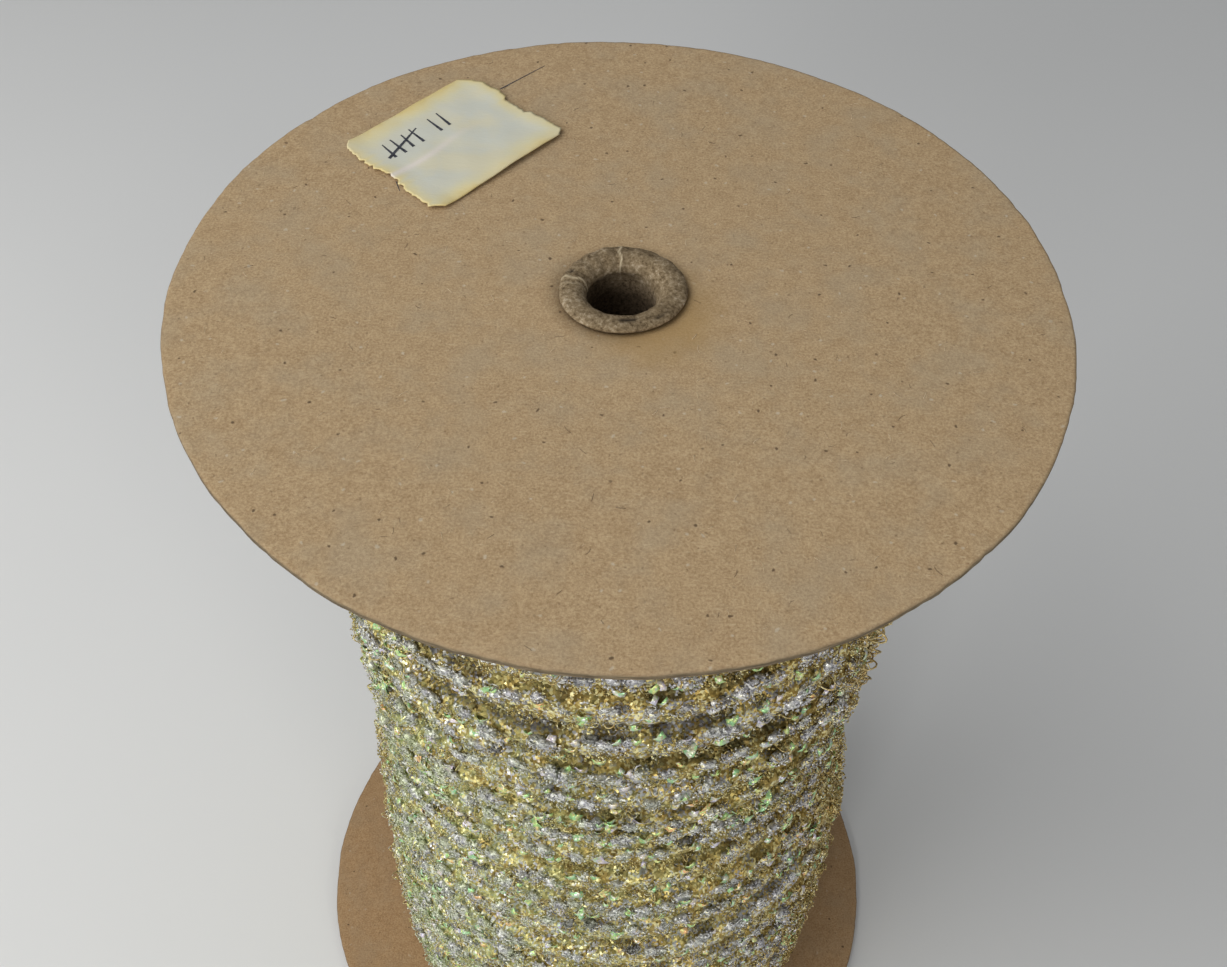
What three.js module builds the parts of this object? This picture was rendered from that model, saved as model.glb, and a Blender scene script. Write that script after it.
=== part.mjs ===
// A paperboard spool wound with tinsel picot trim: two round board flanges on a rolled paper tube,
// the trim in level turns between them, and a torn strip of paper tape stuck to the upper flange.
//
// Millimetres, +Z up the spool's axis. The origin lies on the surface that the spool stands on,
// below the middle of its tube.

import * as THREE from 'three';

// Driving dimensions
const FLANGE_RADIUS = 76.2;
const BOARD_THICKNESS = 1.3;
const SPOOL_HEIGHT = 228.6; // over the outer faces of both flanges
const BORE_RADIUS = 6.1;
const TUBE_WALL = 1.9;
const LIP_RADIUS = 10.8;
const LIP_HEIGHT = 1.8; // how far a rolled end stands proud of its flange
const LIP_LAND = 1.6; // width of the flat round the crown of each rolled end
const LIP_TUCK = 0.5; // how far a rolled end's foot turns back in under its widest part
const SEAT_GAP = 0.3;
const TAPE_THICKNESS = 1;
const TAPE_PLACE = { x: -32.7, y: 40.1, degrees: 49.5 };
const TURNS = 22;
const TURN_RELIEF = 2.6; // from the groove between two turns out to their picots

// Worked out from them
const TUBE_RADIUS = BORE_RADIUS + TUBE_WALL;
const HOLE_RADIUS = TUBE_RADIUS + SEAT_GAP;
const LOWER_FACE = LIP_HEIGHT;
const UPPER_FACE = LIP_HEIGHT + SPOOL_HEIGHT;
const OVERALL_HEIGHT = UPPER_FACE + LIP_HEIGHT;
const TRAVERSE_BOTTOM = LOWER_FACE + BOARD_THICKNESS + SEAT_GAP;
const TRAVERSE_TOP = UPPER_FACE - BOARD_THICKNESS - SEAT_GAP;
const TRAVERSE = TRAVERSE_TOP - TRAVERSE_BOTTOM;
const TURN_PITCH = TRAVERSE / TURNS;

// Steps round the axis
const FLANGE_STEPS = 80;
const TUBE_STEPS = 40;
const WINDING_STEPS = 60;

// The outer form of the winding, by height above the lower flange: how far out the picots reach,
// and how far the heap leans towards +X.
const WINDING_FORM = [
  { height: 0, radius: 58.2, lean: 2.4 },
  { height: 32, radius: 59.2, lean: 2.8 },
  { height: 66, radius: 59.0, lean: 2.6 },
  { height: 92, radius: 56.6, lean: 1.8 },
  { height: 120, radius: 54.8, lean: 1.2 },
  { height: 142, radius: 56.4, lean: 1.4 },
  { height: 168, radius: 56.8, lean: 0.8 },
  { height: 200, radius: 57.4, lean: 0.4 },
  { height: 226, radius: 56.6, lean: 0 },
];

// One turn in section, from the groove under it to the groove over it. The trim leans outwards, so
// its picot edge makes the crest near the top.
const TURN_SECTION = [
  { share: 0, rise: 0 },
  { share: 0.36, rise: 0.72 },
  { share: 0.76, rise: 1 },
];

// The sway of a turn up and down its way round, and its lift in and out, as waves round the axis.
const TURN_SWAY = [
  { size: 1.9, waves: 1, phaseStep: 0.83 },
  { size: 0.9, waves: 2, phaseStep: 1.97 },
  { size: 0.4, waves: 5, phaseStep: 2.61 },
];
const TURN_LIFT = [
  { size: 0.5, waves: 1, phaseStep: 2.2 },
  { size: 0.35, waves: 3, phaseStep: 1.3 },
];
const CALM_LENGTH = 24; // the sway dies out over this length next to each flange

const materials = {
  board: new THREE.MeshStandardMaterial({ color: 0x9c8463, roughness: 0.9, metalness: 0 }),
  tube: new THREE.MeshStandardMaterial({ color: 0x7d6e59, roughness: 0.92, metalness: 0 }),
  trim: new THREE.MeshStandardMaterial({ color: 0xa49a72, roughness: 0.38, metalness: 0.7 }),
  tape: new THREE.MeshStandardMaterial({ color: 0xd3cfae, roughness: 0.6, metalness: 0 }),
};

function named(name, geometry, material) {
  const mesh = new THREE.Mesh(geometry, material);
  mesh.name = name;
  return mesh;
}

// A closed profile of [radius, height] pairs, run anticlockwise, turned round the Z axis.
function turned(profile, steps) {
  const loop = [...profile, profile[0]].map(([radius, height]) => new THREE.Vector2(radius, height));
  return new THREE.LatheGeometry(loop, steps).rotateX(Math.PI / 2);
}

// A punched board disc with a hole for the tube and slightly crushed rims.
function flange(height) {
  const crush = 0.25;
  const top = height + BOARD_THICKNESS;
  const profile = [
    [HOLE_RADIUS, height],
    [FLANGE_RADIUS - crush, height],
    [FLANGE_RADIUS, height + crush],
    [FLANGE_RADIUS, top - crush],
    [FLANGE_RADIUS - crush, top],
    [HOLE_RADIUS, top],
  ];
  return turned(profile, FLANGE_STEPS);
}

// The rolled end of the tube above the upper flange, from the flange out, over and into the bore.
function rolledLip() {
  const quarterSteps = 5;
  const roundShare = 0.62;
  const under = UPPER_FACE + SEAT_GAP;
  const rise = roundShare * (OVERALL_HEIGHT - under);
  const middle = (BORE_RADIUS + LIP_RADIUS) / 2;
  const landOut = middle + LIP_LAND / 2;
  const landIn = middle - LIP_LAND / 2;
  const outer = [];
  const inner = [];
  for (let i = 0; i <= quarterSteps; i += 1) {
    const turn = (i / quarterSteps) * (Math.PI / 2);
    const height = OVERALL_HEIGHT - rise * (1 - Math.sin(turn));
    outer.push([landOut + (LIP_RADIUS - landOut) * Math.cos(turn), height]);
    inner.unshift([landIn - (landIn - BORE_RADIUS) * Math.cos(turn), height]);
  }
  return [[TUBE_RADIUS, under], [LIP_RADIUS - LIP_TUCK, under], ...outer, ...inner];
}

// The paper tube: its two ends are rolled outwards over the flanges and hold them on.
function coreTube() {
  const upper = rolledLip();
  const lower = upper.map(([radius, height]) => [radius, OVERALL_HEIGHT - height]).reverse();
  return turned([...lower, ...upper], TUBE_STEPS);
}

// The winding's form at a height above the lower flange, eased between the rows of its table.
function windingForm(height) {
  const next = WINDING_FORM.findIndex((row, i) => i > 0 && row.height >= height);
  const upper = WINDING_FORM.at(next);
  const lower = WINDING_FORM.at(next - 1);
  const share = THREE.MathUtils.smoothstep(height, lower.height, upper.height);
  return {
    radius: THREE.MathUtils.lerp(lower.radius, upper.radius, share),
    lean: THREE.MathUtils.lerp(lower.lean, upper.lean, share),
  };
}

function waves(table, index, angle) {
  return table.reduce(
    (sum, row) => sum + row.size * Math.sin(row.waves * angle + row.phaseStep * index),
    0,
  );
}

// The height above the lower flange of the groove under turn number index.
function grooveHeight(index, angle) {
  const level = index * TURN_PITCH;
  const calm = Math.min(1, level / CALM_LENGTH, (TRAVERSE - level) / CALM_LENGTH);
  return level + calm * waves(TURN_SWAY, index, angle);
}

// One ring of points round the winding, at a share of the way up turn number index.
function windingRing(index, share, rise) {
  const ring = [];
  for (let i = 0; i < WINDING_STEPS; i += 1) {
    const angle = (i / WINDING_STEPS) * 2 * Math.PI;
    const above = index < TURNS ? grooveHeight(index + 1, angle) : TRAVERSE;
    const height = THREE.MathUtils.lerp(grooveHeight(index, angle), above, share);
    const form = windingForm(height);
    const radius = form.radius - TURN_RELIEF * (1 - rise) + waves(TURN_LIFT, index, angle) * rise;
    ring.push([
      radius * Math.cos(angle) + form.lean,
      radius * Math.sin(angle),
      TRAVERSE_BOTTOM + height,
    ]);
  }
  return ring;
}

function boreRing(height) {
  const ring = [];
  for (let i = 0; i < WINDING_STEPS; i += 1) {
    const angle = (i / WINDING_STEPS) * 2 * Math.PI;
    ring.push([HOLE_RADIUS * Math.cos(angle), HOLE_RADIUS * Math.sin(angle), height]);
  }
  return ring;
}

// Rings of equally many points, each joined to the next and the last to the first.
function ringSolid(rings) {
  const steps = rings[0].length;
  const index = [];
  for (let r = 0; r < rings.length; r += 1) {
    const next = (r + 1) % rings.length;
    for (let i = 0; i < steps; i += 1) {
      const j = (i + 1) % steps;
      const [a, b, c, d] = [r * steps + i, r * steps + j, next * steps + j, next * steps + i];
      index.push(a, b, c, a, c, d);
    }
  }
  const geometry = new THREE.BufferGeometry();
  geometry.setAttribute('position', new THREE.Float32BufferAttribute(rings.flat(2), 3));
  geometry.setIndex(index);
  geometry.computeVertexNormals();
  return geometry;
}

// The wound trim: its turns as swaying ridges from flange to flange, round the tube.
function trimWinding() {
  const rings = [boreRing(TRAVERSE_BOTTOM)];
  for (let turn = 0; turn < TURNS; turn += 1) {
    TURN_SECTION.forEach(({ share, rise }) => rings.push(windingRing(turn, share, rise)));
  }
  rings.push(windingRing(TURNS, 0, 0));
  rings.push(boreRing(TRAVERSE_TOP));
  return ringSolid(rings);
}

// The paper tape: torn off at both ends, with its corners lost.
function tapeLabel() {
  const outline = new THREE.Shape([
    new THREE.Vector2(-14.8, -13.5),
    new THREE.Vector2(14.7, -13.5),
    new THREE.Vector2(16.5, -11.9),
    new THREE.Vector2(16.4, -4.4),
    new THREE.Vector2(15.5, -3.5),
    new THREE.Vector2(15.6, 2.1),
    new THREE.Vector2(16.7, 2.8),
    new THREE.Vector2(16.7, 9.4),
    new THREE.Vector2(15.4, 11.8),
    new THREE.Vector2(13.7, 13.5),
    new THREE.Vector2(-14.3, 13.5),
    new THREE.Vector2(-15.9, 12),
    new THREE.Vector2(-16.4, 6.6),
    new THREE.Vector2(-15.6, 1.2),
    new THREE.Vector2(-15.6, -1.4),
    new THREE.Vector2(-16.8, -11.5),
  ]);
  return new THREE.ExtrudeGeometry(outline, { depth: TAPE_THICKNESS, bevelEnabled: false });
}

const spool = new THREE.Group();
spool.add(named('flange_bottom', flange(LOWER_FACE), materials.board));
spool.add(named('flange_top', flange(UPPER_FACE - BOARD_THICKNESS), materials.board));
spool.add(named('core_tube', coreTube(), materials.tube));
spool.add(named('trim_winding', trimWinding(), materials.trim));

const tape = named('tape_label', tapeLabel(), materials.tape);
tape.position.set(TAPE_PLACE.x, TAPE_PLACE.y, UPPER_FACE + SEAT_GAP);
tape.rotation.z = THREE.MathUtils.degToRad(TAPE_PLACE.degrees);
spool.add(tape);

export default spool;
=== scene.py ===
import math

import bpy
import numpy as np
from mathutils import Matrix, Vector


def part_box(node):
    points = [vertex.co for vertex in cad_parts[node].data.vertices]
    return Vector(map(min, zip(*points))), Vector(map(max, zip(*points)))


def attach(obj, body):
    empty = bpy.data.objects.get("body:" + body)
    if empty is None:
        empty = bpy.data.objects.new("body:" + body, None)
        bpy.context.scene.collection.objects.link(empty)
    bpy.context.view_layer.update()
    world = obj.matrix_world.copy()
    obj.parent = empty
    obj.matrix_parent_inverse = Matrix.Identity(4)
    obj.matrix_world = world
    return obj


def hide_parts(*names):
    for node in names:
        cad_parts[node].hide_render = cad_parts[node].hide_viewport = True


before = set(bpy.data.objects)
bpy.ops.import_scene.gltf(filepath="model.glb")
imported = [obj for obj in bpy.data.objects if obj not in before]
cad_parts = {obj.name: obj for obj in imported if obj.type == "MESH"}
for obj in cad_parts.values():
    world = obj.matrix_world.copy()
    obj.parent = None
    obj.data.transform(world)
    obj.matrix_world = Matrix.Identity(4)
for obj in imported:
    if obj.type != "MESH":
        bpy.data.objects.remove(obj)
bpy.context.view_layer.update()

# Driving sizes, in metres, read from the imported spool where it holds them
MM = 0.001
TAU = 2 * math.pi
_, UPPER_HIGH = (Vector(corner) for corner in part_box("flange_top"))
TUBE_LOW, TUBE_HIGH = (Vector(corner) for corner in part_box("core_tube"))
WOUND_LOW, WOUND_HIGH = (Vector(corner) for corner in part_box("trim_winding"))

FLANGE_RADIUS = UPPER_HIGH.x
UPPER_FACE = UPPER_HIGH.z
LIP_RADIUS = TUBE_HIGH.x
BORE_RADIUS = 6.1 * MM
TUBE_RADIUS = 8 * MM
SEAT_GAP = 0.3 * MM
HOLE_RADIUS = TUBE_RADIUS + SEAT_GAP
TRAVERSE_LOW = WOUND_LOW.z
TRAVERSE_HIGH = WOUND_HIGH.z
TRAVERSE = TRAVERSE_HIGH - TRAVERSE_LOW
TURNS = 22
TURN_PITCH = TRAVERSE / TURNS
TURN_RELIEF = 2.6 * MM
MIDDLE_TURN = TURNS // 2
PICOTS_A_TURN = 72

# The outer form of the winding, as the solid has it: height above the lower flange, how far out
# the picots reach, and how far the heap leans towards +X, in millimetres
WINDING_FORM = np.array([
    (0, 58.2, 2.4),
    (32, 59.2, 2.8),
    (66, 59.0, 2.6),
    (92, 56.6, 1.8),
    (120, 54.8, 1.2),
    (142, 56.4, 1.4),
    (168, 56.8, 0.8),
    (200, 57.4, 0.4),
    (226, 56.6, 0.0),
]) * MM

INK_THICKNESS = 0.03 * MM

# Where the tape lies, and how far it is turned
TAPE_CENTRE = Vector((-32.7, 40.1, 0)) * MM
TAPE_TURN = math.radians(49.5)

# Waves round the axis: size in millimetres, number of waves, and phase step from turn to turn
TURN_SWAY = ((1.9, 1, 0.83), (0.9, 2, 1.97), (0.4, 5, 2.61))
TURN_LIFT = ((0.5, 1, 2.2), (0.35, 3, 1.3))
CALM_LENGTH = 24 * MM
# Where the grooves open into gaps: strength, number of waves, and phase step from turn to turn
GAP_WAVES = ((0.55, 3, 2.4), (0.60, 8, 1.1), (0.60, 21, 3.7), (0.55, 37, 5.3))

# The gold body of one turn in section: share of the way up from its groove, and rise towards the
# reach of the picots. It lies inside them, and its groove is deeper than the solid's.
TURN_SECTION = (
    (0.00, -0.90), (0.06, -0.50), (0.14, -0.05), (0.26, 0.18), (0.40, 0.30),
    (0.54, 0.34), (0.66, 0.26), (0.76, 0.00), (0.86, -0.55),
)


def smoothstep(low, high, value):
    share = np.clip((value - low) / (high - low), 0, 1)
    return share * share * (3 - 2 * share)


def unit(vectors):
    return vectors / np.linalg.norm(vectors, axis=-1, keepdims=True)


def round_angles(columns):
    return np.arange(columns) * TAU / columns


def polar(radius, angle, height):
    """Points at a radius, angle and height round the spool's axis."""
    return np.stack(np.broadcast_arrays(radius * np.cos(angle), radius * np.sin(angle), height), axis=-1)


# The winding's path, which the solid and every tinsel piece share

def winding_form(height):
    """The winding's radius and lean at a height above the lower flange."""
    rows = np.clip(np.searchsorted(WINDING_FORM[:, 0], height), 1, len(WINDING_FORM) - 1)
    lower, upper = WINDING_FORM[rows - 1], WINDING_FORM[rows]
    share = smoothstep(lower[..., 0], upper[..., 0], height)[..., None]
    form = lower + (upper - lower) * share
    return form[..., 1], form[..., 2]


def waves(table, turn, angle):
    return sum(size * MM * np.sin(count * angle + step * turn) for size, count, step in table)


def groove_height(turn, angle):
    """Height above the lower flange of the groove under a turn."""
    level = turn * TURN_PITCH
    calm = np.clip(np.minimum(level, TRAVERSE - level) / CALM_LENGTH, 0, 1)
    return level + calm * waves(TURN_SWAY, turn, angle)


def winding_point(turn, share, angle, rise):
    """A point on the winding: share of the way up a turn, and rise from its groove to its crest."""
    turn, share, angle, rise = np.broadcast_arrays(
        *(np.asarray(value, float) for value in (turn, share, angle, rise)))
    below, above = groove_height(turn, angle), groove_height(turn + 1, angle)
    height = below + (above - below) * share
    radius, lean = winding_form(height)
    radius = radius - TURN_RELIEF * (1 - rise) + waves(TURN_LIFT, turn, angle) * np.minimum(rise, 1)
    return np.stack([radius * np.cos(angle) + lean, radius * np.sin(angle), TRAVERSE_LOW + height], axis=-1)


def section_rise(share):
    shares, rises = zip(*TURN_SECTION, (1.0, TURN_SECTION[0][1]))
    return np.interp(share, shares, rises)


def gap_strength(turn, angle):
    """Where the groove over a turn opens into a deeper gap with painted shade, from 0 to 1: mostly near the
    upper flange.
    """
    swing = sum(size * np.sin(count * angle + step * turn) for size, count, step in GAP_WAVES)
    high = smoothstep(TURNS - 12.0, TURNS - 5.0, turn)
    return smoothstep(0.1, 0.9, swing + 0.5 * high) * (0.4 + 0.6 * high)


# Meshes

def placed(name, data):
    """A new object of the scene, at the origin."""
    thing = bpy.data.objects.new(name, data)
    bpy.context.scene.collection.objects.link(thing)
    return thing


def mesh_object(name, points, faces, material, smooth=True):
    """A new object at the origin from points and faces."""
    mesh = bpy.data.meshes.new(name)
    mesh.from_pydata(np.asarray(points).tolist(), [], [list(face) for face in faces])
    mesh.polygons.foreach_set("use_smooth", [smooth] * len(mesh.polygons))
    mesh.update()
    piece = placed(name, mesh)
    if material:
        mesh.materials.append(material)
    return piece


def ring_faces(rows, columns):
    """Faces between rings of equally many points, each ring closed and the last joined to the first."""
    row, column = np.meshgrid(np.arange(rows), np.arange(columns), indexing="ij")
    after, beside = (row + 1) % rows, (column + 1) % columns
    corners = [
        row * columns + column, row * columns + beside,
        after * columns + beside, after * columns + column]
    return np.stack(corners, axis=-1).reshape(-1, 4)


def set_attribute(piece, name, values):
    """A number for each point, for the materials to read."""
    layer = piece.data.attributes.new(name, "FLOAT", "POINT")
    layer.data.foreach_set("value", np.asarray(values, dtype=np.float32))


def dress(piece, stands_for=()):
    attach(piece, "root")
    if stands_for:
        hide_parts(*stands_for)


# Small shapes that the tinsel is made of, each closed: X runs along the trim, Y up it, Z out of it

class Bits:
    """Collects the points and faces of many small closed shapes."""

    def __init__(self):
        self.points = []
        self.faces = []

    def add(self, points, faces):
        start = len(self.points)
        self.points += [tuple(point) for point in points]
        self.faces += [[start + corner for corner in face] for face in faces]

    def grain(self, centre, along, length, width, rng):
        """A crumpled grain of foil: a three-sided spindle with a twisted waist."""
        along = Vector(along).normalized()
        side = along.orthogonal().normalized()
        side.rotate(Matrix.Rotation(rng.uniform(0, TAU), 3, along))
        across = along.cross(side)
        centre = Vector(centre)
        waist = []
        for i in range(3):
            turn = i * TAU / 3 + rng.uniform(-0.4, 0.4)
            reach = width / 2 * rng.uniform(0.8, 1.3)
            spot = centre + along * length * rng.uniform(-0.14, 0.14)
            waist.append(spot + side * math.cos(turn) * reach + across * math.sin(turn) * reach)
        tips = [centre - along * length / 2, centre + along * length / 2]
        faces = []
        for i in range(3):
            j = (i + 1) % 3
            faces += [(i, j, 4), (j, i, 3)]
        self.add(waist + tips, faces)

    def lump(self, centre, reach, rng):
        """A small uneven ball with its poles along X."""
        sides, rows = 6, 2
        points = []
        for row in range(1, rows + 1):
            tilt = math.pi * row / (rows + 1)
            for i in range(sides):
                turn = i * TAU / sides
                spread = rng.uniform(0.82, 1.08)
                points.append(Vector((
                    -math.cos(tilt) * reach[0],
                    math.sin(tilt) * math.cos(turn) * reach[1] * spread,
                    math.sin(tilt) * math.sin(turn) * reach[2] * spread)) + Vector(centre))
        first, last = len(points), len(points) + 1
        points += [Vector((-reach[0], 0, 0)) + Vector(centre), Vector((reach[0], 0, 0)) + Vector(centre)]
        faces = []
        for i in range(sides):
            j = (i + 1) % sides
            faces += [(first, j, i), (last, (rows - 1) * sides + i, (rows - 1) * sides + j)]
            for row in range(rows - 1):
                a, b = row * sides + i, row * sides + j
                faces.append((a, b, b + sides, a + sides))
        self.add(points, faces)

    def thread(self, path, radius):
        """A three-sided thread along a path, closed at both ends."""
        path = [Vector(point) for point in path]
        points, faces, last = [], [], len(path) - 1
        side = (path[1] - path[0]).orthogonal().normalized()
        for i, centre in enumerate(path):
            ahead = (path[min(i + 1, last)] - path[max(i - 1, 0)]).normalized()
            side = (side - ahead * side.dot(ahead)).normalized()
            across = ahead.cross(side)
            for k in range(3):
                turn = k * TAU / 3
                points.append(centre + (side * math.cos(turn) + across * math.sin(turn)) * radius)
            if i:
                for k in range(3):
                    n = (k + 1) % 3
                    faces.append((3 * i - 3 + k, 3 * i - 3 + n, 3 * i + n, 3 * i + k))
        faces += [(2, 1, 0), (3 * last, 3 * last + 1, 3 * last + 2)]
        self.add(points, faces)

    def bar(self, sections):
        """A closed bar through rows of four corners each."""
        points, faces, last = [], [], 4 * len(sections) - 4
        for start, corners in zip(range(0, last + 1, 4), sections):
            points += corners
            if start:
                for k in range(4):
                    n = (k + 1) % 4
                    faces.append((start - 4 + n, start - 4 + k, start + k, start + n))
        faces += [(0, 1, 2, 3), (last + 3, last + 2, last + 1, last)]
        self.add(points, faces)

    def strip(self, path, sides, width, thickness):
        """A flat strip of film along a path, with its flat side facing out."""
        sections, last = [], len(path) - 1
        for i, (centre, side) in enumerate(zip(path, sides)):
            centre, side = Vector(centre), Vector(side).normalized()
            ahead = (Vector(path[min(i + 1, last)]) - Vector(path[max(i - 1, 0)])).normalized()
            out = side.cross(ahead).normalized() * -thickness / 2
            half = side * width / 2
            sections.append(
                [centre - half + out, centre + half + out, centre + half - out, centre - half - out])
        self.bar(sections)


def drawn(rng, *ranges):
    """A vector in millimetres whose parts are drawn from their ranges, in turn."""
    return Vector([rng.uniform(low, high) for low, high in ranges]) * MM


def arch(span, height, steps, lean):
    """Points of an arch that stands on the X axis and rises along Y, leaning out along Z."""
    points = []
    for i in range(steps + 1):
        turn = math.pi * i / steps
        rise = height * math.sin(turn)
        points.append(Vector((-span / 2 * math.cos(turn), rise, lean * rise)))
    return points


def spread_directions(count, rng, lowest):
    """Even directions over the part of a ball that faces out, above a lowest Z."""
    golden = math.pi * (3 - math.sqrt(5))
    found = []
    for i in range(count):
        z = 1 - (1 - lowest) * (i + rng.uniform(0.1, 0.9)) / count
        ring = math.sqrt(max(0, 1 - z * z))
        turn = i * golden + rng.uniform(-0.35, 0.35)
        found.append(Vector((ring * math.cos(turn), ring * math.sin(turn), z)))
    return found


def picot_tuft(rng):
    """One scallop of the picot edge: crimped silver yarn bunched into a small uneven dome."""
    bits = Bits()
    reach = drawn(rng, (2.1, 3.0), (1.5, 2.1), (1.2, 1.7))
    bits.lump((0, 0, 0), reach * 0.84, rng)
    for away in spread_directions(25, rng, -0.2):
        swell = rng.uniform(0.78, 1.16)
        blunt = 1.15 - 0.2 * abs(away.x)
        centre = Vector((away.x * reach.x * blunt, away.y * reach.y, away.z * reach.z)) * swell
        along = away.cross(Vector(rng.normal(0, 1, 3))) + away * rng.uniform(-0.4, 0.4)
        bits.grain(centre, along, rng.uniform(0.65, 0.95) * MM, rng.uniform(0.55, 0.85) * MM, rng)
    loop = arch(rng.uniform(1.5, 2.3) * MM, rng.uniform(0.8, 1.4) * MM, 4, rng.uniform(0.0, 0.8))
    spot = drawn(rng, (-1.6, 1.6), (1.0, 1.5), (0.3, 1.0))
    spin = Matrix.Rotation(rng.uniform(-0.6, 0.6), 3, "Z")
    bits.thread([spin @ point + spot for point in loop], 0.15 * MM)
    return bits


def gold_tangle(rng):
    """A small tangle of fine gold thread and the grains of its crimps."""
    bits = Bits()
    loop = arch(rng.uniform(1.4, 2.6) * MM, rng.uniform(0.5, 1.2) * MM, 3, rng.uniform(0.2, 0.9))
    spin = Matrix.Rotation(rng.uniform(0, TAU), 3, "Z")
    spot = Vector((rng.uniform(-1, 1), rng.uniform(-1, 1), 0)) * MM
    bits.thread([spin @ point + spot for point in loop], rng.uniform(0.11, 0.15) * MM)
    for i in range(12):
        centre = drawn(rng, (-1.9, 1.9), (-1.4, 1.4), (-0.2, 0.6))
        along = Vector((1, rng.uniform(-1.4, 1.4), rng.uniform(-0.8, 0.8)))
        bits.grain(centre, along, rng.uniform(0.5, 0.8) * MM, rng.uniform(0.42, 0.68) * MM, rng)
    return bits


def film_flake(rng):
    """A stretch of pearly film that comes up between the threads and goes down again."""
    bits = Bits()
    length, width, bow = drawn(rng, (1.6, 3.0), (0.9, 1.7), (0.3, 0.7))
    steps, twist = 3, rng.uniform(-0.5, 0.5)
    path, sides = [], []
    for i in range(steps + 1):
        share = i / steps - 0.5
        path.append((length * share, 0.25 * MM * math.sin(5 * share), bow * (0.9 - 4.4 * share * share)))
        sides.append((0, math.cos(twist * share * 2), math.sin(twist * share * 2)))
    bits.strip(path, sides, width, 0.06 * MM)
    return bits


def stray_loop(rng):
    """A loop of gold thread that stands out from the winding."""
    bits = Bits()
    span, height = rng.uniform(1.8, 3.2) * MM, rng.uniform(1.4, 2.6) * MM
    loop = [Vector((p.x, p.z * 0.4, p.y)) for p in arch(span, height, 7, rng.uniform(-0.6, 0.6))]
    bits.thread(loop, rng.uniform(0.13, 0.2) * MM)
    return bits


def board_fibre(rng):
    """A short paper fibre, half loose on the board's face."""
    bits = Bits()
    length, curl = rng.uniform(0.5, 1.6) * MM, rng.uniform(-0.5, 0.5)
    path = []
    for i in range(5):
        share = i / 4 - 0.5
        lift = 0.035 * MM * math.cos(3 * share)
        path.append((length * share, length * curl * (share * share - 0.1), lift))
    bits.thread(path, 0.026 * MM)
    return bits


# Geometry Nodes that set small shapes on points

def scatter_tree():
    """Sets the shapes of a collection on the points of a mesh, by its own attributes."""
    tree = bpy.data.node_groups.new("Shapes on points", "GeometryNodeTree")
    face = tree.interface
    for name, kind in (
            ("Geometry", "Geometry"), ("Shapes", "Collection"), ("Finish", "Material"),
            ("Size", "Float"), ("Seed", "Int")):
        face.new_socket(name, in_out="INPUT", socket_type="NodeSocket" + kind)
    face.new_socket("Geometry", in_out="OUTPUT", socket_type="NodeSocketGeometry")
    new, link = tree.nodes.new, tree.links.new
    source, result = new("NodeGroupInput"), new("NodeGroupOutput")

    def attribute(name, kind):
        node = new("GeometryNodeInputNamedAttribute")
        node.data_type = kind
        node.inputs["Name"].default_value = name
        return node.outputs["Attribute"]

    turn = new("FunctionNodeAxesToRotation")
    turn.primary_axis, turn.secondary_axis = "Z", "Y"
    link(attribute("out", "FLOAT_VECTOR"), turn.inputs["Primary Axis"])
    link(attribute("up", "FLOAT_VECTOR"), turn.inputs["Secondary Axis"])

    shapes = new("GeometryNodeCollectionInfo")
    shapes.inputs["Separate Children"].default_value = True
    shapes.inputs["Reset Children"].default_value = True
    link(source.outputs["Shapes"], shapes.inputs["Collection"])

    pick = new("FunctionNodeRandomValue")
    pick.data_type = "INT"
    whole = [s for s in pick.inputs if s.type == "INT" and s.name in ("Min", "Max")]
    whole[0].default_value, whole[1].default_value = 0, 99
    link(source.outputs["Seed"], pick.inputs["Seed"])

    scale = new("ShaderNodeVectorMath")
    scale.operation = "SCALE"
    link(attribute("stretch", "FLOAT_VECTOR"), scale.inputs["Vector"])
    link(source.outputs["Size"], scale.inputs["Scale"])

    place = new("GeometryNodeInstanceOnPoints")
    place.inputs["Pick Instance"].default_value = True
    link(source.outputs["Geometry"], place.inputs["Points"])
    link(shapes.outputs["Instances"], place.inputs["Instance"])
    link(next(s for s in pick.outputs if s.type == "INT"), place.inputs["Instance Index"])
    link(turn.outputs["Rotation"], place.inputs["Rotation"])
    link(scale.outputs["Vector"], place.inputs["Scale"])

    real, finish = new("GeometryNodeRealizeInstances"), new("GeometryNodeSetMaterial")
    link(place.outputs["Instances"], real.inputs["Geometry"])
    link(real.outputs["Geometry"], finish.inputs["Geometry"])
    link(source.outputs["Finish"], finish.inputs["Material"])
    link(finish.outputs["Geometry"], result.inputs["Geometry"])
    return tree


SCATTER = scatter_tree()


def shape_collection(name, make, count, seed):
    """Several versions of a small shape, for the scatter to pick from."""
    group = bpy.data.collections.new(name)
    for i in range(count):
        bits = make(np.random.default_rng(seed + i))
        mesh = bpy.data.meshes.new(f"{name}_{i}")
        mesh.from_pydata([tuple(p) for p in bits.points], [], bits.faces)
        group.objects.link(bpy.data.objects.new(f"{name}_{i}", mesh))
    return group


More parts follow.
